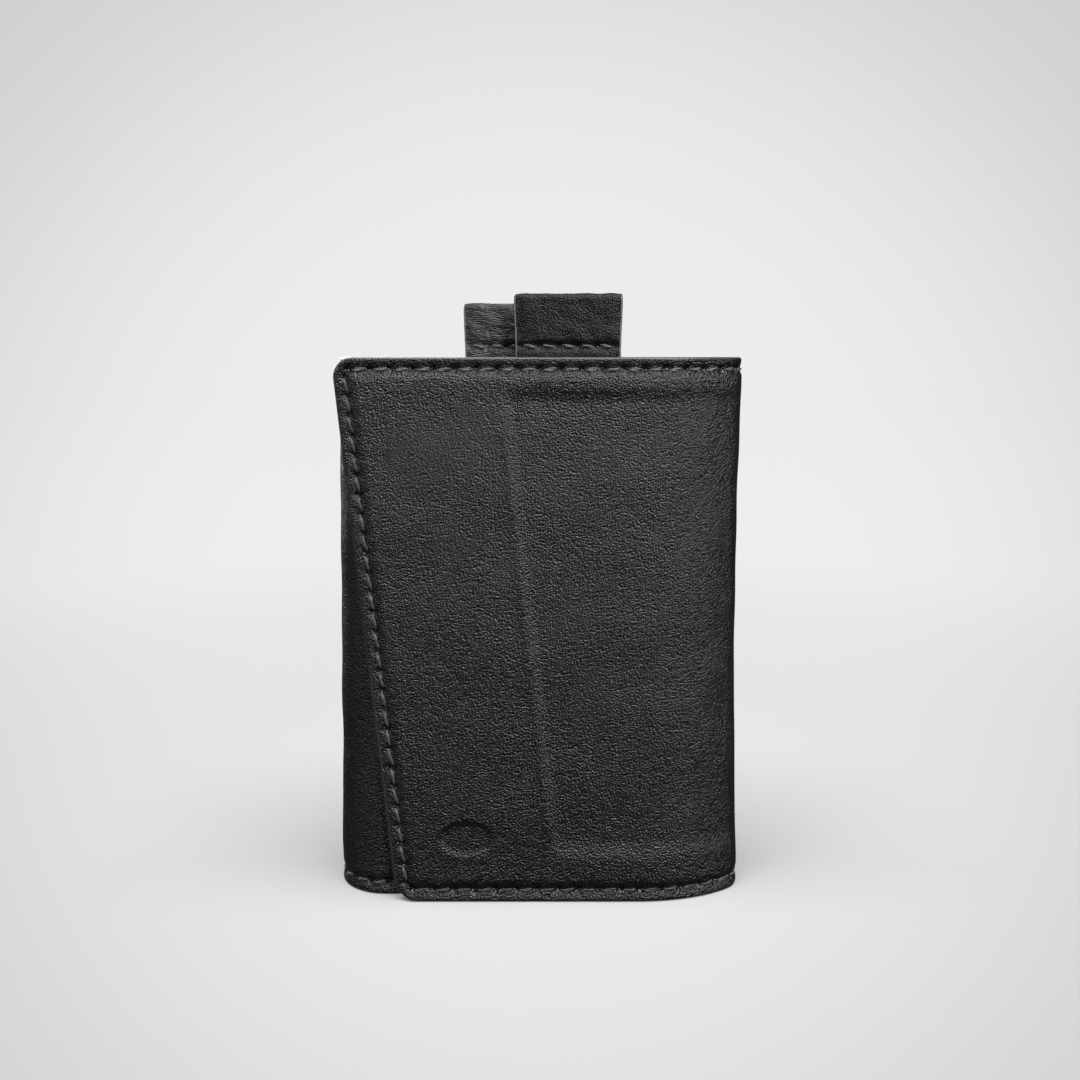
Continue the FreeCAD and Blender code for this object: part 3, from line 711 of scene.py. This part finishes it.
PANELS = {
    "flap": (flap_edge, RIGHT_MIDDLE, ("flap", "right_spine")),
    "rear_right": (RIGHT_MIDDLE, BACK_MIDDLE, ("right_spine", "back")),
    "rear_left": (BACK_MIDDLE, LEFT_MIDDLE, ("back", "left_spine")),
    "wing": (LEFT_MIDDLE, wing_edge, ("left_spine", "wing")),
}
COVER_NODES = {
    "flap": ["cover_flap"], "rear_right": ["cover_right_spine", "cover_back"],
    "rear_left": ["cover_left_spine", "cover_back"], "wing": ["cover_wing"],
}
LINING_NODES = {
    "flap": ["lining_flap"], "rear_right": ["lining_right_spine", "lining_back"],
    "rear_left": ["lining_left_spine", "lining_back"], "wing": ["lining_wing"],
}
THREAD_NODES = {
    "flap": ["thread_flap"], "rear_right": ["thread_back"],
    "rear_left": ["thread_back"], "wing": ["thread_wing"],
}
FOLDS = {
    "flap": (FLAT_END + 6 * MM, FOLD_END),
    "rear_right": (RIGHT_MIDDLE + 1 * MM, BACK_START),
    "rear_left": (BACK_END, LEFT_SIDE),
    "wing": (LEFT_MIDDLE + 0.5 * MM, WING_START),
}
STEPS = {"flap": 0.45 * MM, "rear_right": 0.6 * MM, "rear_left": 0.6 * MM, "wing": 0.5 * MM}
LINING_STEP = 0.9 * MM
LINING_MARGIN = 0.12 * MM
BOARD_GAP = 2.5 * MM


def join_fold(piece, panel):
    """Bake a piece's place into its mesh; it is not bent across its panel's fold."""
    first, second = PANELS[panel][2]
    start, stop = wrap(np.array(FOLDS[panel]), 0.0, np.zeros(2))
    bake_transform(piece)


def lining_depth(along, up):
    """How deep the lining's outer face lies: on the leather at the edges, on the boards elsewhere."""
    flap_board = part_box("board_flap")[1].y - FRONT
    back_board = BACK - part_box("board_back")[0].y
    wing_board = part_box("board_wing")[1].y - WING_FACE
    edge = ease(border(along, up), 1.6 * MM, 4.2 * MM)
    on_flap = 1 - ease(along, 13.6 * MM, FLAT_END + 2 * MM)
    on_back = ease(along, BACK_START - BOARD_GAP, BACK_START)
    on_back *= 1 - ease(along, BACK_END, BACK_END + BOARD_GAP)
    on_wing = ease(along, WING_START, WING_START + 2.6 * MM)
    boards = ((flap_board, on_flap), (back_board, on_back), (wing_board, on_wing))
    extra = sum((depth - COVER) * part for depth, part in boards)
    on_board = np.clip(on_flap + on_back + on_wing, 0, 1)
    return COVER + relief(along, up) * (1 - 0.85 * edge * on_board) + extra * edge


def make_cover(panel, step):
    """The outer leather of a panel."""
    first, last, _ = PANELS[panel]
    along, up = strip_grid(first, last, step)
    edge = border(along, up)
    sink = relief(along, up)
    fall = rounding(edge, 0.5 * COVER)
    piece = shell(f"cover_leather_{panel}", along, up, sink + fall, sink + COVER - fall * 0.9,
                  [COVER_LEATHER, RIM_PAINT_AND_HIGHLIGHT], edge)
    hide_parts(*COVER_NODES[panel])
    join_fold(piece, panel)


def make_lining(panel, step):
    """The inner leather of a panel."""
    first, last, _ = PANELS[panel]
    along, up = strip_grid(first, last, step, LINING_MARGIN)
    edge = border(along, up) - LINING_MARGIN
    depth = lining_depth(along, up)
    fall = rounding(edge, 0.45 * LINING)
    piece = shell(f"lining_leather_{panel}", along, up, depth + fall, depth + LINING - fall,
                  [LINING_LEATHER, RIM_PAINT_AND_HIGHLIGHT], edge, rim=0.3 * MM)
    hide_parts(*LINING_NODES[panel])
    join_fold(piece, panel)


# ---------------------------------------------------------------- thread

THREAD_SINK = 0.12 * MM


def strands(middles, direction, length, rise, sink, place, slope=0.14, thick=0.2 * MM):
    """Twisted two-strand stitches that rise from one hole and dive into the next."""
    samples = 13
    sides = 6
    run = np.linspace(-1, 1, samples)
    turn = np.linspace(0, math.tau, sides, endpoint=False)
    arch = (rise + sink) * (1 - np.abs(run) ** 3.5) - sink
    taper = thick * (1 - 0.35 * np.abs(run) ** 4)
    verts, faces = [], []
    across = (-direction[1], direction[0])
    for number, (along, up) in enumerate(middles):
        wobble = 0.04 * math.sin(number * 2.3)
        reach = run * length / 2 * (1 + wobble)
        lean = (slope + wobble) * reach
        for strand in range(2):
            twist = run * 1.9 + number * 1.7 + strand * math.pi
            side = lean + 0.62 * taper * np.cos(twist)
            height = arch + 0.62 * taper * np.sin(twist)
            ring_side = side[:, None] + taper[:, None] * np.cos(turn)
            ring_height = height[:, None] + taper[:, None] * np.sin(turn)
            ring_along = along + reach[:, None] * direction[0] + ring_side * across[0]
            ring_up = up + reach[:, None] * direction[1] + ring_side * across[1]
            first = len(verts)
            verts.extend(place(ring_along, ring_up, ring_height).reshape(-1, 3).tolist())
            for row in range(samples - 1):
                for column in range(sides):
                    here = first + row * sides + column
                    beside = first + row * sides + (column + 1) % sides
                    faces.append((here, beside, beside + sides, here + sides))
            last = first + (samples - 1) * sides
            faces.append(tuple(range(first, first + sides))[::-1])
            faces.append(tuple(range(last, last + sides)))
    return verts, faces


def on_outer(along, up, height):
    """Place thread above the outer face."""
    face = hem(along, border(along, up)) + side_sag(along, up) + THREAD_SINK
    return wrap(along, up, face - height)


def on_lining(along, up, height):
    """Place thread above the lining."""
    return wrap(along, up, lining_depth(along, up) + LINING + height)


def make_thread(panel):
    """All the stitches of a panel, outside and inside."""
    first, last, _ = PANELS[panel]
    low = -1.0 if callable(first) else first
    high = 1.0 if callable(last) else last
    verts, faces = [], []
    for row in ROWS:
        along = row.middles[:, 0]
        outside = row.middles[(along >= low) & (along < high)]
        inside = outside + row.pitch / 2 * row.direction
        if callable(last) or row.direction[1]:
            inside = inside[:-1]
        for middles, rise, place in ((outside, 0.10 * MM, on_outer), (inside, 0.12 * MM, on_lining)):
            stitches = strands(middles, row.direction, STITCH_LENGTH, rise, 0.45 * MM, place)
            join_faces(verts, faces, *stitches)
    piece = mesh_object(f"stitches_{panel}", verts, faces, [YARN])
    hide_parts(*THREAD_NODES[panel])
    join_fold(piece, panel)


# ---------------------------------------------------------------- card block

WALL_STEP = 0.9 * MM
WALL_SEAM = 1.9 * MM
WALL_STITCHES = 21
WALL_STITCH_LENGTH = 2.4 * MM
FOOT_CORNER = 4.0 * MM
MOUTH_CORNER = 1.5 * MM


def wall_corner(low, high, up):
    """The corner radius of a wall's lower or upper half."""
    return np.where(up < (low.z + high.z) / 2, FOOT_CORNER, MOUTH_CORNER)


def wall_border(low, high, along, up):
    """Distance from the edge of a wall with rounded corners."""
    side = np.minimum(along - low.x, high.x - along)
    end = np.minimum(up - low.z, high.z - up)
    radius = wall_corner(low, high, up)
    both = (side < radius) & (end < radius)
    return np.where(both, radius - np.hypot(radius - side, radius - end), np.minimum(side, end))


def make_wall(node):
    """A leather wall of the card block, with a crease along its top and stitches round its sides."""
    low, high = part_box(node)
    thick = high.y - low.y
    width = high.x - low.x
    up = spaced(low.z, high.z, WALL_STEP)[:, None]
    radius = wall_corner(low, high, up)
    room = np.clip(np.minimum(up - low.z, high.z - up), 0, radius)
    inset = radius - np.sqrt(radius ** 2 - (radius - room) ** 2)
    part = spaced(0, width, WALL_STEP) / width
    along = low.x + inset + (width - 2 * inset) * part
    up = up + 0 * along
    edge = wall_border(low, high, along, up)
    crease = 0.12 * MM * bump(high.z - up, 1.8 * MM, 0.35 * MM)
    groove = 0.1 * MM * bump(edge, WALL_SEAM, 0.5 * MM) * (high.z - up > 3 * MM)
    fall = rounding(edge, 0.45 * thick)

    def place(along, up, depth):
        return np.stack([along, low.y + depth, up], -1)

    def sewn(along, up, height):
        return place(along, up, 0.08 * MM - height)

    piece = shell(f"wall_{node}", along, up, crease + groove + fall, thick - fall,
                  [WALL_LEATHER, RIM_PAINT_AND_HIGHLIGHT], edge, place, rim=0.35 * MM)
    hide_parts(node)
    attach(piece, "back")

    length = high.z - low.z - 9 * MM
    levels = low.z + 5 * MM + (np.arange(WALL_STITCHES) + 0.5) * length / WALL_STITCHES
    places = np.arange(low.x + 6 * MM, high.x - 5 * MM, STITCH_PITCH)
    rows = (
        ([(low.x + WALL_SEAM, level) for level in levels], (0.0, 1.0)),
        ([(high.x - WALL_SEAM, level) for level in levels], (0.0, 1.0)),
        ([(spot, low.z + WALL_SEAM) for spot in places], (1.0, 0.0)),
    )
    verts, faces = [], []
    for middles, direction in rows:
        stitches = strands(middles, direction, WALL_STITCH_LENGTH, 0.05 * MM, 0.35 * MM, sewn,
                           thick=0.12 * MM)
        join_faces(verts, faces, *stitches)
    seam = mesh_object(f"stitches_{node}", verts, faces, [YARN])
    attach(seam, "back")


# ---------------------------------------------------------------- straps

TAB_THICK = 0.8 * MM
TAB_PITCH = 3.8 * MM
TAB_STITCHES = 5
TAB_STITCH_LENGTH = 2.7 * MM
RIBBON_STEP = 0.8 * MM
RIBBON_BEND = 1.2 * MM


def tab_line(low, high):
    """A tab's leather seen from its side: up the back, over the fold and down the front."""
    radius = (high.y - low.y) / 2
    line = Line((high.y, low.z), math.pi / 2)
    line.run(high.z - radius - low.z).bend(radius, math.pi).run(high.z - radius - low.z)
    return line


def make_tab(strap, finish, wrinkle):
    """A leather tab folded over the ribbon's end and stitched through."""
    low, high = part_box(f"{strap}_tab")
    body = strap.split("_")[0] + "_tab"
    line = tab_line(low, high)
    fold = line.length / 2
    middle = (low.x + high.x) / 2
    stitch_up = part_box(f"{strap}_tab_thread")[0].z - low.z
    along = spaced(0, line.length, 0.33 * MM)[None, :]
    across = spaced(low.x, high.x, 0.4 * MM)[:, None]
    along, across = along + 0 * across, across + 0 * along
    leaf = fold - np.abs(along - fold)
    side = np.minimum(across - low.x, high.x - across)
    edge = np.minimum(side, np.minimum(along, line.length - along))

    sink = 0.28 * MM * bump(leaf, stitch_up, 0.9 * MM) * ease(edge, 0.6 * MM, 2.5 * MM)
    sink += 0.16 * MM * (1 - ease(edge, 0.5 * MM, 2.2 * MM))
    crown = bump(across, middle, (high.x - low.x) * 0.42)
    sink += 0.10 * MM * ease(leaf, stitch_up, fold * 0.9) * crown
    sink += wrinkle * 0.05 * MM * waves(along, across * 0.22, 1.7 * MM)
    sink += 0.05 * MM * waves(along, across, 6 * MM)
    stitches = middle + (np.arange(TAB_STITCHES) - TAB_STITCHES // 2) * TAB_PITCH
    for hole in np.append(stitches, stitches[-1] + TAB_PITCH) - TAB_PITCH / 2:
        sink += 0.3 * MM * bump(np.hypot(across - hole, leaf - stitch_up), 0, 0.6 * MM)
    fall = rounding(edge, 0.45 * TAB_THICK)
    inner = np.minimum(TAB_THICK + 0.4 * sink, 0.95 * MM)

    def place(along, across, depth):
        """Put a point on the folded leather, which is a little narrower at its foot."""
        points, normals = line.place(along)
        flat = points - normals * np.asarray(depth)[..., None]
        narrow = 1 - 0.03 * ease(np.abs(along - fold), 2 * MM, 12 * MM)
        return np.stack([middle + (across - middle) * narrow, flat[..., 0], flat[..., 1]], -1)

    piece = shell(f"{strap}_tab_leather", along, across, sink + fall, inner - fall,
                  [finish, TAB_RIM_PAINT_AND_HIGHLIGHT], edge, place, rim=0.42 * MM)
    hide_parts(f"{strap}_tab")
    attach(piece, body)

    verts, faces = [], []
    for level, slope in ((stitch_up, -0.16), (line.length - stitch_up, 0.16)):
        def sewn(spot, up, height, level=level):
            return place(level + (up - low.z), spot, 0.26 * MM - height)

        middles = [(spot, low.z) for spot in stitches]
        sewing = strands(middles, (1.0, 0.0), TAB_STITCH_LENGTH, 0.16 * MM, 0.4 * MM, sewn, slope)
        join_faces(verts, faces, *sewing)
    seam = mesh_object(f"{strap}_tab_stitches", verts, faces, [YARN])
    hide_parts(f"{strap}_tab_thread")
    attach(seam, body)


def ribbon_shell(name, line, low_x, high_x, thick):
    """A woven ribbon that follows a line seen from its side."""
    along = spaced(0, line.length, RIBBON_STEP, False, False)[None, :]
    across = spaced(low_x, high_x, RIBBON_STEP)[:, None]
    along, across = along + 0 * across, across + 0 * along
    edge = np.minimum(across - low_x, high_x - across)
    sink = -0.03 * MM * bump(edge, 0.5 * MM, 0.35 * MM)
    fall = rounding(edge, 0.4 * thick)

    def place(along, across, depth):
        points, normals = line.place(along)
        flat = points - normals * np.asarray(depth)[..., None]
        return np.stack([across, flat[..., 0], flat[..., 1]], -1)

    piece = shell(name, along, across, sink + fall, thick - fall, [RIBBON, RIBBON], edge, place)
    return piece


def make_ribbon(strap):
    """The three stretches of a strap's ribbon: down the front, under the cards and up the back."""
    side = strap.split("_")[0]
    loop_low, loop_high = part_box(f"{strap}_loop")
    run_low, run_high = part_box(f"{strap}_front_run")
    rear_low, rear_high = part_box(f"{strap}_rear_run")
    thick = run_high.y - run_low.y

    front = Line((run_low.y, run_high.z), -math.pi / 2).run(run_high.z - run_low.z)
    piece = ribbon_shell(f"{strap}_ribbon_front", front, run_low.x, run_high.x, thick)
    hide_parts(f"{strap}_front_run")
    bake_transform(piece)

    under = Line((loop_low.y, loop_high.z), -math.pi / 2)
    under.run(loop_high.z - loop_low.z - RIBBON_BEND).bend(RIBBON_BEND, math.pi / 2)
    under.run(loop_high.y - loop_low.y - 2 * RIBBON_BEND).bend(RIBBON_BEND, math.pi / 2)
    under.run(loop_high.z - loop_low.z - RIBBON_BEND)
    piece = ribbon_shell(f"{strap}_ribbon_loop", under, loop_low.x, loop_high.x, thick)
    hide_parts(f"{strap}_loop")
    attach(piece, f"{side}_loop")

    rear = Line((rear_high.y, rear_low.z), math.pi / 2).run(rear_high.z - rear_low.z)
    piece = ribbon_shell(f"{strap}_ribbon_rear", rear, rear_low.x, rear_high.x, thick)
    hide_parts(f"{strap}_rear_run")
    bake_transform(piece)


# ---------------------------------------------------------------- pieces kept from the frame

def finish_node(node, material, soften=0.12 * MM):
    """Give a kept piece its finish and soft edges."""
    thing = frame["nodes"][node]
    for holder in [thing] + list(thing.children):
        if holder.type == "MESH":
            for slot in holder.material_slots:
                slot.link = "OBJECT"
                slot.material = material
            bevel = holder.modifiers.new("soft_edges", "BEVEL")
            bevel.width = soften
            bevel.segments = 2
            bevel.limit_method = "ANGLE"


def finish_kept_pieces():
    """Boards, stays, magnets, gussets and anchors keep their own shapes."""
    finishes = {
        "board_": BOARD, "edge_stay_": BOARD, "magnet_": NICKEL, "keeper_": STEEL,
        "gusset_": STRIP_LEATHER, "cash_pocket_welt": STRIP_LEATHER,
    }
    for node in frame["nodes"]:
        for start, material in finishes.items():
            if node.startswith(start):
                finish_node(node, material)
        if node.endswith("_anchor"):
            finish_node(node, STRIP_LEATHER, 0.05 * MM)
        if node.endswith("_anchor_thread"):
            finish_node(node, YARN, 0.1 * MM)


# ---------------------------------------------------------------- stage, light and camera

FLOOR_REACH = 2.1
STAGE_BEND = 0.9
WALL_RISE = 2.5
POOL_START = 0.08
POOL_END = 0.40
# GLOW_START and GLOW_WAY: the point the stage's painted glow spreads from, and the way it faces
GLOW_START = (0.0, -0.24, 0.11)
GLOW_WAY = (0, 0.9876, -0.157)


def make_stage():
    """A pale round floor that curves up into a wall, with a painted glow that fades to its sides.

    Near the holder the paper is lit and takes its shadow. Further away its light is painted: it glows by
    itself with the same tone.
    """
    line = Line((0.0, 0.0), 0.0).run(FLOOR_REACH).bend(STAGE_BEND, math.pi / 2).run(WALL_RISE)
    along = np.linspace(0.0, line.length, 121)[1:, None]
    turn = np.linspace(0, math.tau, 97)[None, :]
    points, _ = line.place(along + 0 * turn)
    reach, height = points[..., 0], points[..., 1]
    verts = np.stack([reach * np.cos(turn), reach * np.sin(turn), height], -1).reshape(-1, 3)
    index = np.arange(reach.size).reshape(reach.shape)
    corners = [index[:-1, :-1], index[:-1, 1:], index[1:, 1:], index[1:, :-1]]
    quads = np.stack(corners, -1).reshape(-1, 4)
    middle = [tuple(index[0, :-1].tolist())]

    material, tree, shader, vector = new_finish("stage_paper", False)
    pool = vector_node(tree, "LENGTH", vector)["Value"]
    near = span_node(tree, pool, POOL_START, POOL_END, 1.0, 0.0, smooth=True)
    # Painted light: the paper glows by itself, brightest straight out from a point in front of the
    # holder and dimmer to its sides
    way = vector_node(tree, "SUBTRACT", vector, GLOW_START)[0]
    way = vector_node(tree, "NORMALIZE", way)[0]
    way = vector_node(tree, "DOT_PRODUCT", way, GLOW_WAY)["Value"]
    glow = span_node(tree, way, 0.82, 0.98, 0.63, 0.835, smooth=True)
    lit = math_node(tree, "MULTIPLY", near, glow)
    # The paper's colour follows the painted glow too: pale near the holder, where the lamps light and
    # shade it, near black further off
    tone = mix_colour(tree, lit, grey(0.02), grey(0.84))
    tree.links.new(tone, shader.inputs["Base Color"])
    # Emitted painted glow: what the lamps don't give the paper near the holder, and all of its light
    # further off
    painted_glow_emission = math_node(tree, "MULTIPLY_ADD", lit, -0.83, glow)
    tree.links.new(painted_glow_emission, shader.inputs["Emission Color"])
    shader.inputs["Roughness"].default_value = 0.9
    shader.inputs["Specular IOR Level"].default_value = 0.0
    shader.inputs["Emission Strength"].default_value = 1.0
    floor = mesh_object("stage_floor", verts.tolist(), quads.tolist() + middle, [material])
    floor.visible_glossy = False
    floor.visible_diffuse = False
    return floor


def soft_box(name, place, aim, size, power):
    """A rectangular soft light that looks at a point."""
    lamp = bpy.data.lights.new(name, "AREA")
    lamp.shape = "RECTANGLE"
    lamp.size, lamp.size_y = size
    lamp.energy = power
    holder = bpy.data.objects.new(name, lamp)
    holder.location = place
    holder.rotation_euler = (Vector(aim) - Vector(place)).to_track_quat("-Z", "Y").to_euler()
    bpy.context.scene.collection.objects.link(holder)
    return holder


def light_scene(floor):
    """Soft studio light: three lights for the leather alone, and one overhead for everything."""
    centre = (0, 0, TOP / 2)
    off_floor = bpy.data.collections.new("off_floor")
    off_floor.objects.link(floor)
    off_floor.collection_objects[0].light_linking.link_state = "EXCLUDE"
    for name, place, size, power in (
            ("key", (0.40, -0.62, 0.55), (0.42, 0.42), 10.5),
            ("fill", (-0.7, -0.5, 0.35), (0.4, 0.6), 2.8),
            ("rim", (-0.5, 1.3, 0.6), (1.2, 1.0), 24)):
        lamp = soft_box(name, place, centre, size, power)
        lamp.light_linking.receiver_collection = off_floor
    soft_box("overhead", (0.0, -0.4, 1.7), (0, 0, 0), (1.8, 1.0), 34)
    world = bpy.data.worlds.new("room")
    world.use_nodes = True
    background = world.node_tree.nodes["Background"]
    background.inputs["Color"].default_value = (1, 1, 1, 1)
    background.inputs["Strength"].default_value = 0.06
    bpy.context.scene.world = world
    bpy.context.scene.view_settings.view_transform = "Standard"


def make_camera():
    """A nearly level camera at the height of the top edge, close in front."""
    camera = bpy.data.cameras.new("camera")
    camera.sensor_width = 36.0
    camera.lens = 39.4
    camera.shift_y = -0.118
    camera.clip_start = 0.01
    holder = bpy.data.objects.new("camera", camera)
    holder.location = (-0.0001, FRONT - 0.2165, TOP)
    holder.rotation_euler = (math.pi / 2 - math.atan(0.0469), 0, 0)
    bpy.context.scene.collection.objects.link(holder)
    bpy.context.scene.camera = holder


# ---------------------------------------------------------------- put together

make_camera()
light_scene(make_stage())

for panel_name in PANELS:
    make_cover(panel_name, STEPS[panel_name])
    make_lining(panel_name, LINING_STEP)
    make_thread(panel_name)
for wall in ("pocket_front_wall", "divider", "pocket_rear_wall"):
    make_wall(wall)
make_tab("front_strap", TAB_LEATHER, 0.4)
make_tab("rear_strap", CREASED_LEATHER, 1.0)
for strap_name in ("front_strap", "rear_strap"):
    make_ribbon(strap_name)
finish_kept_pieces()
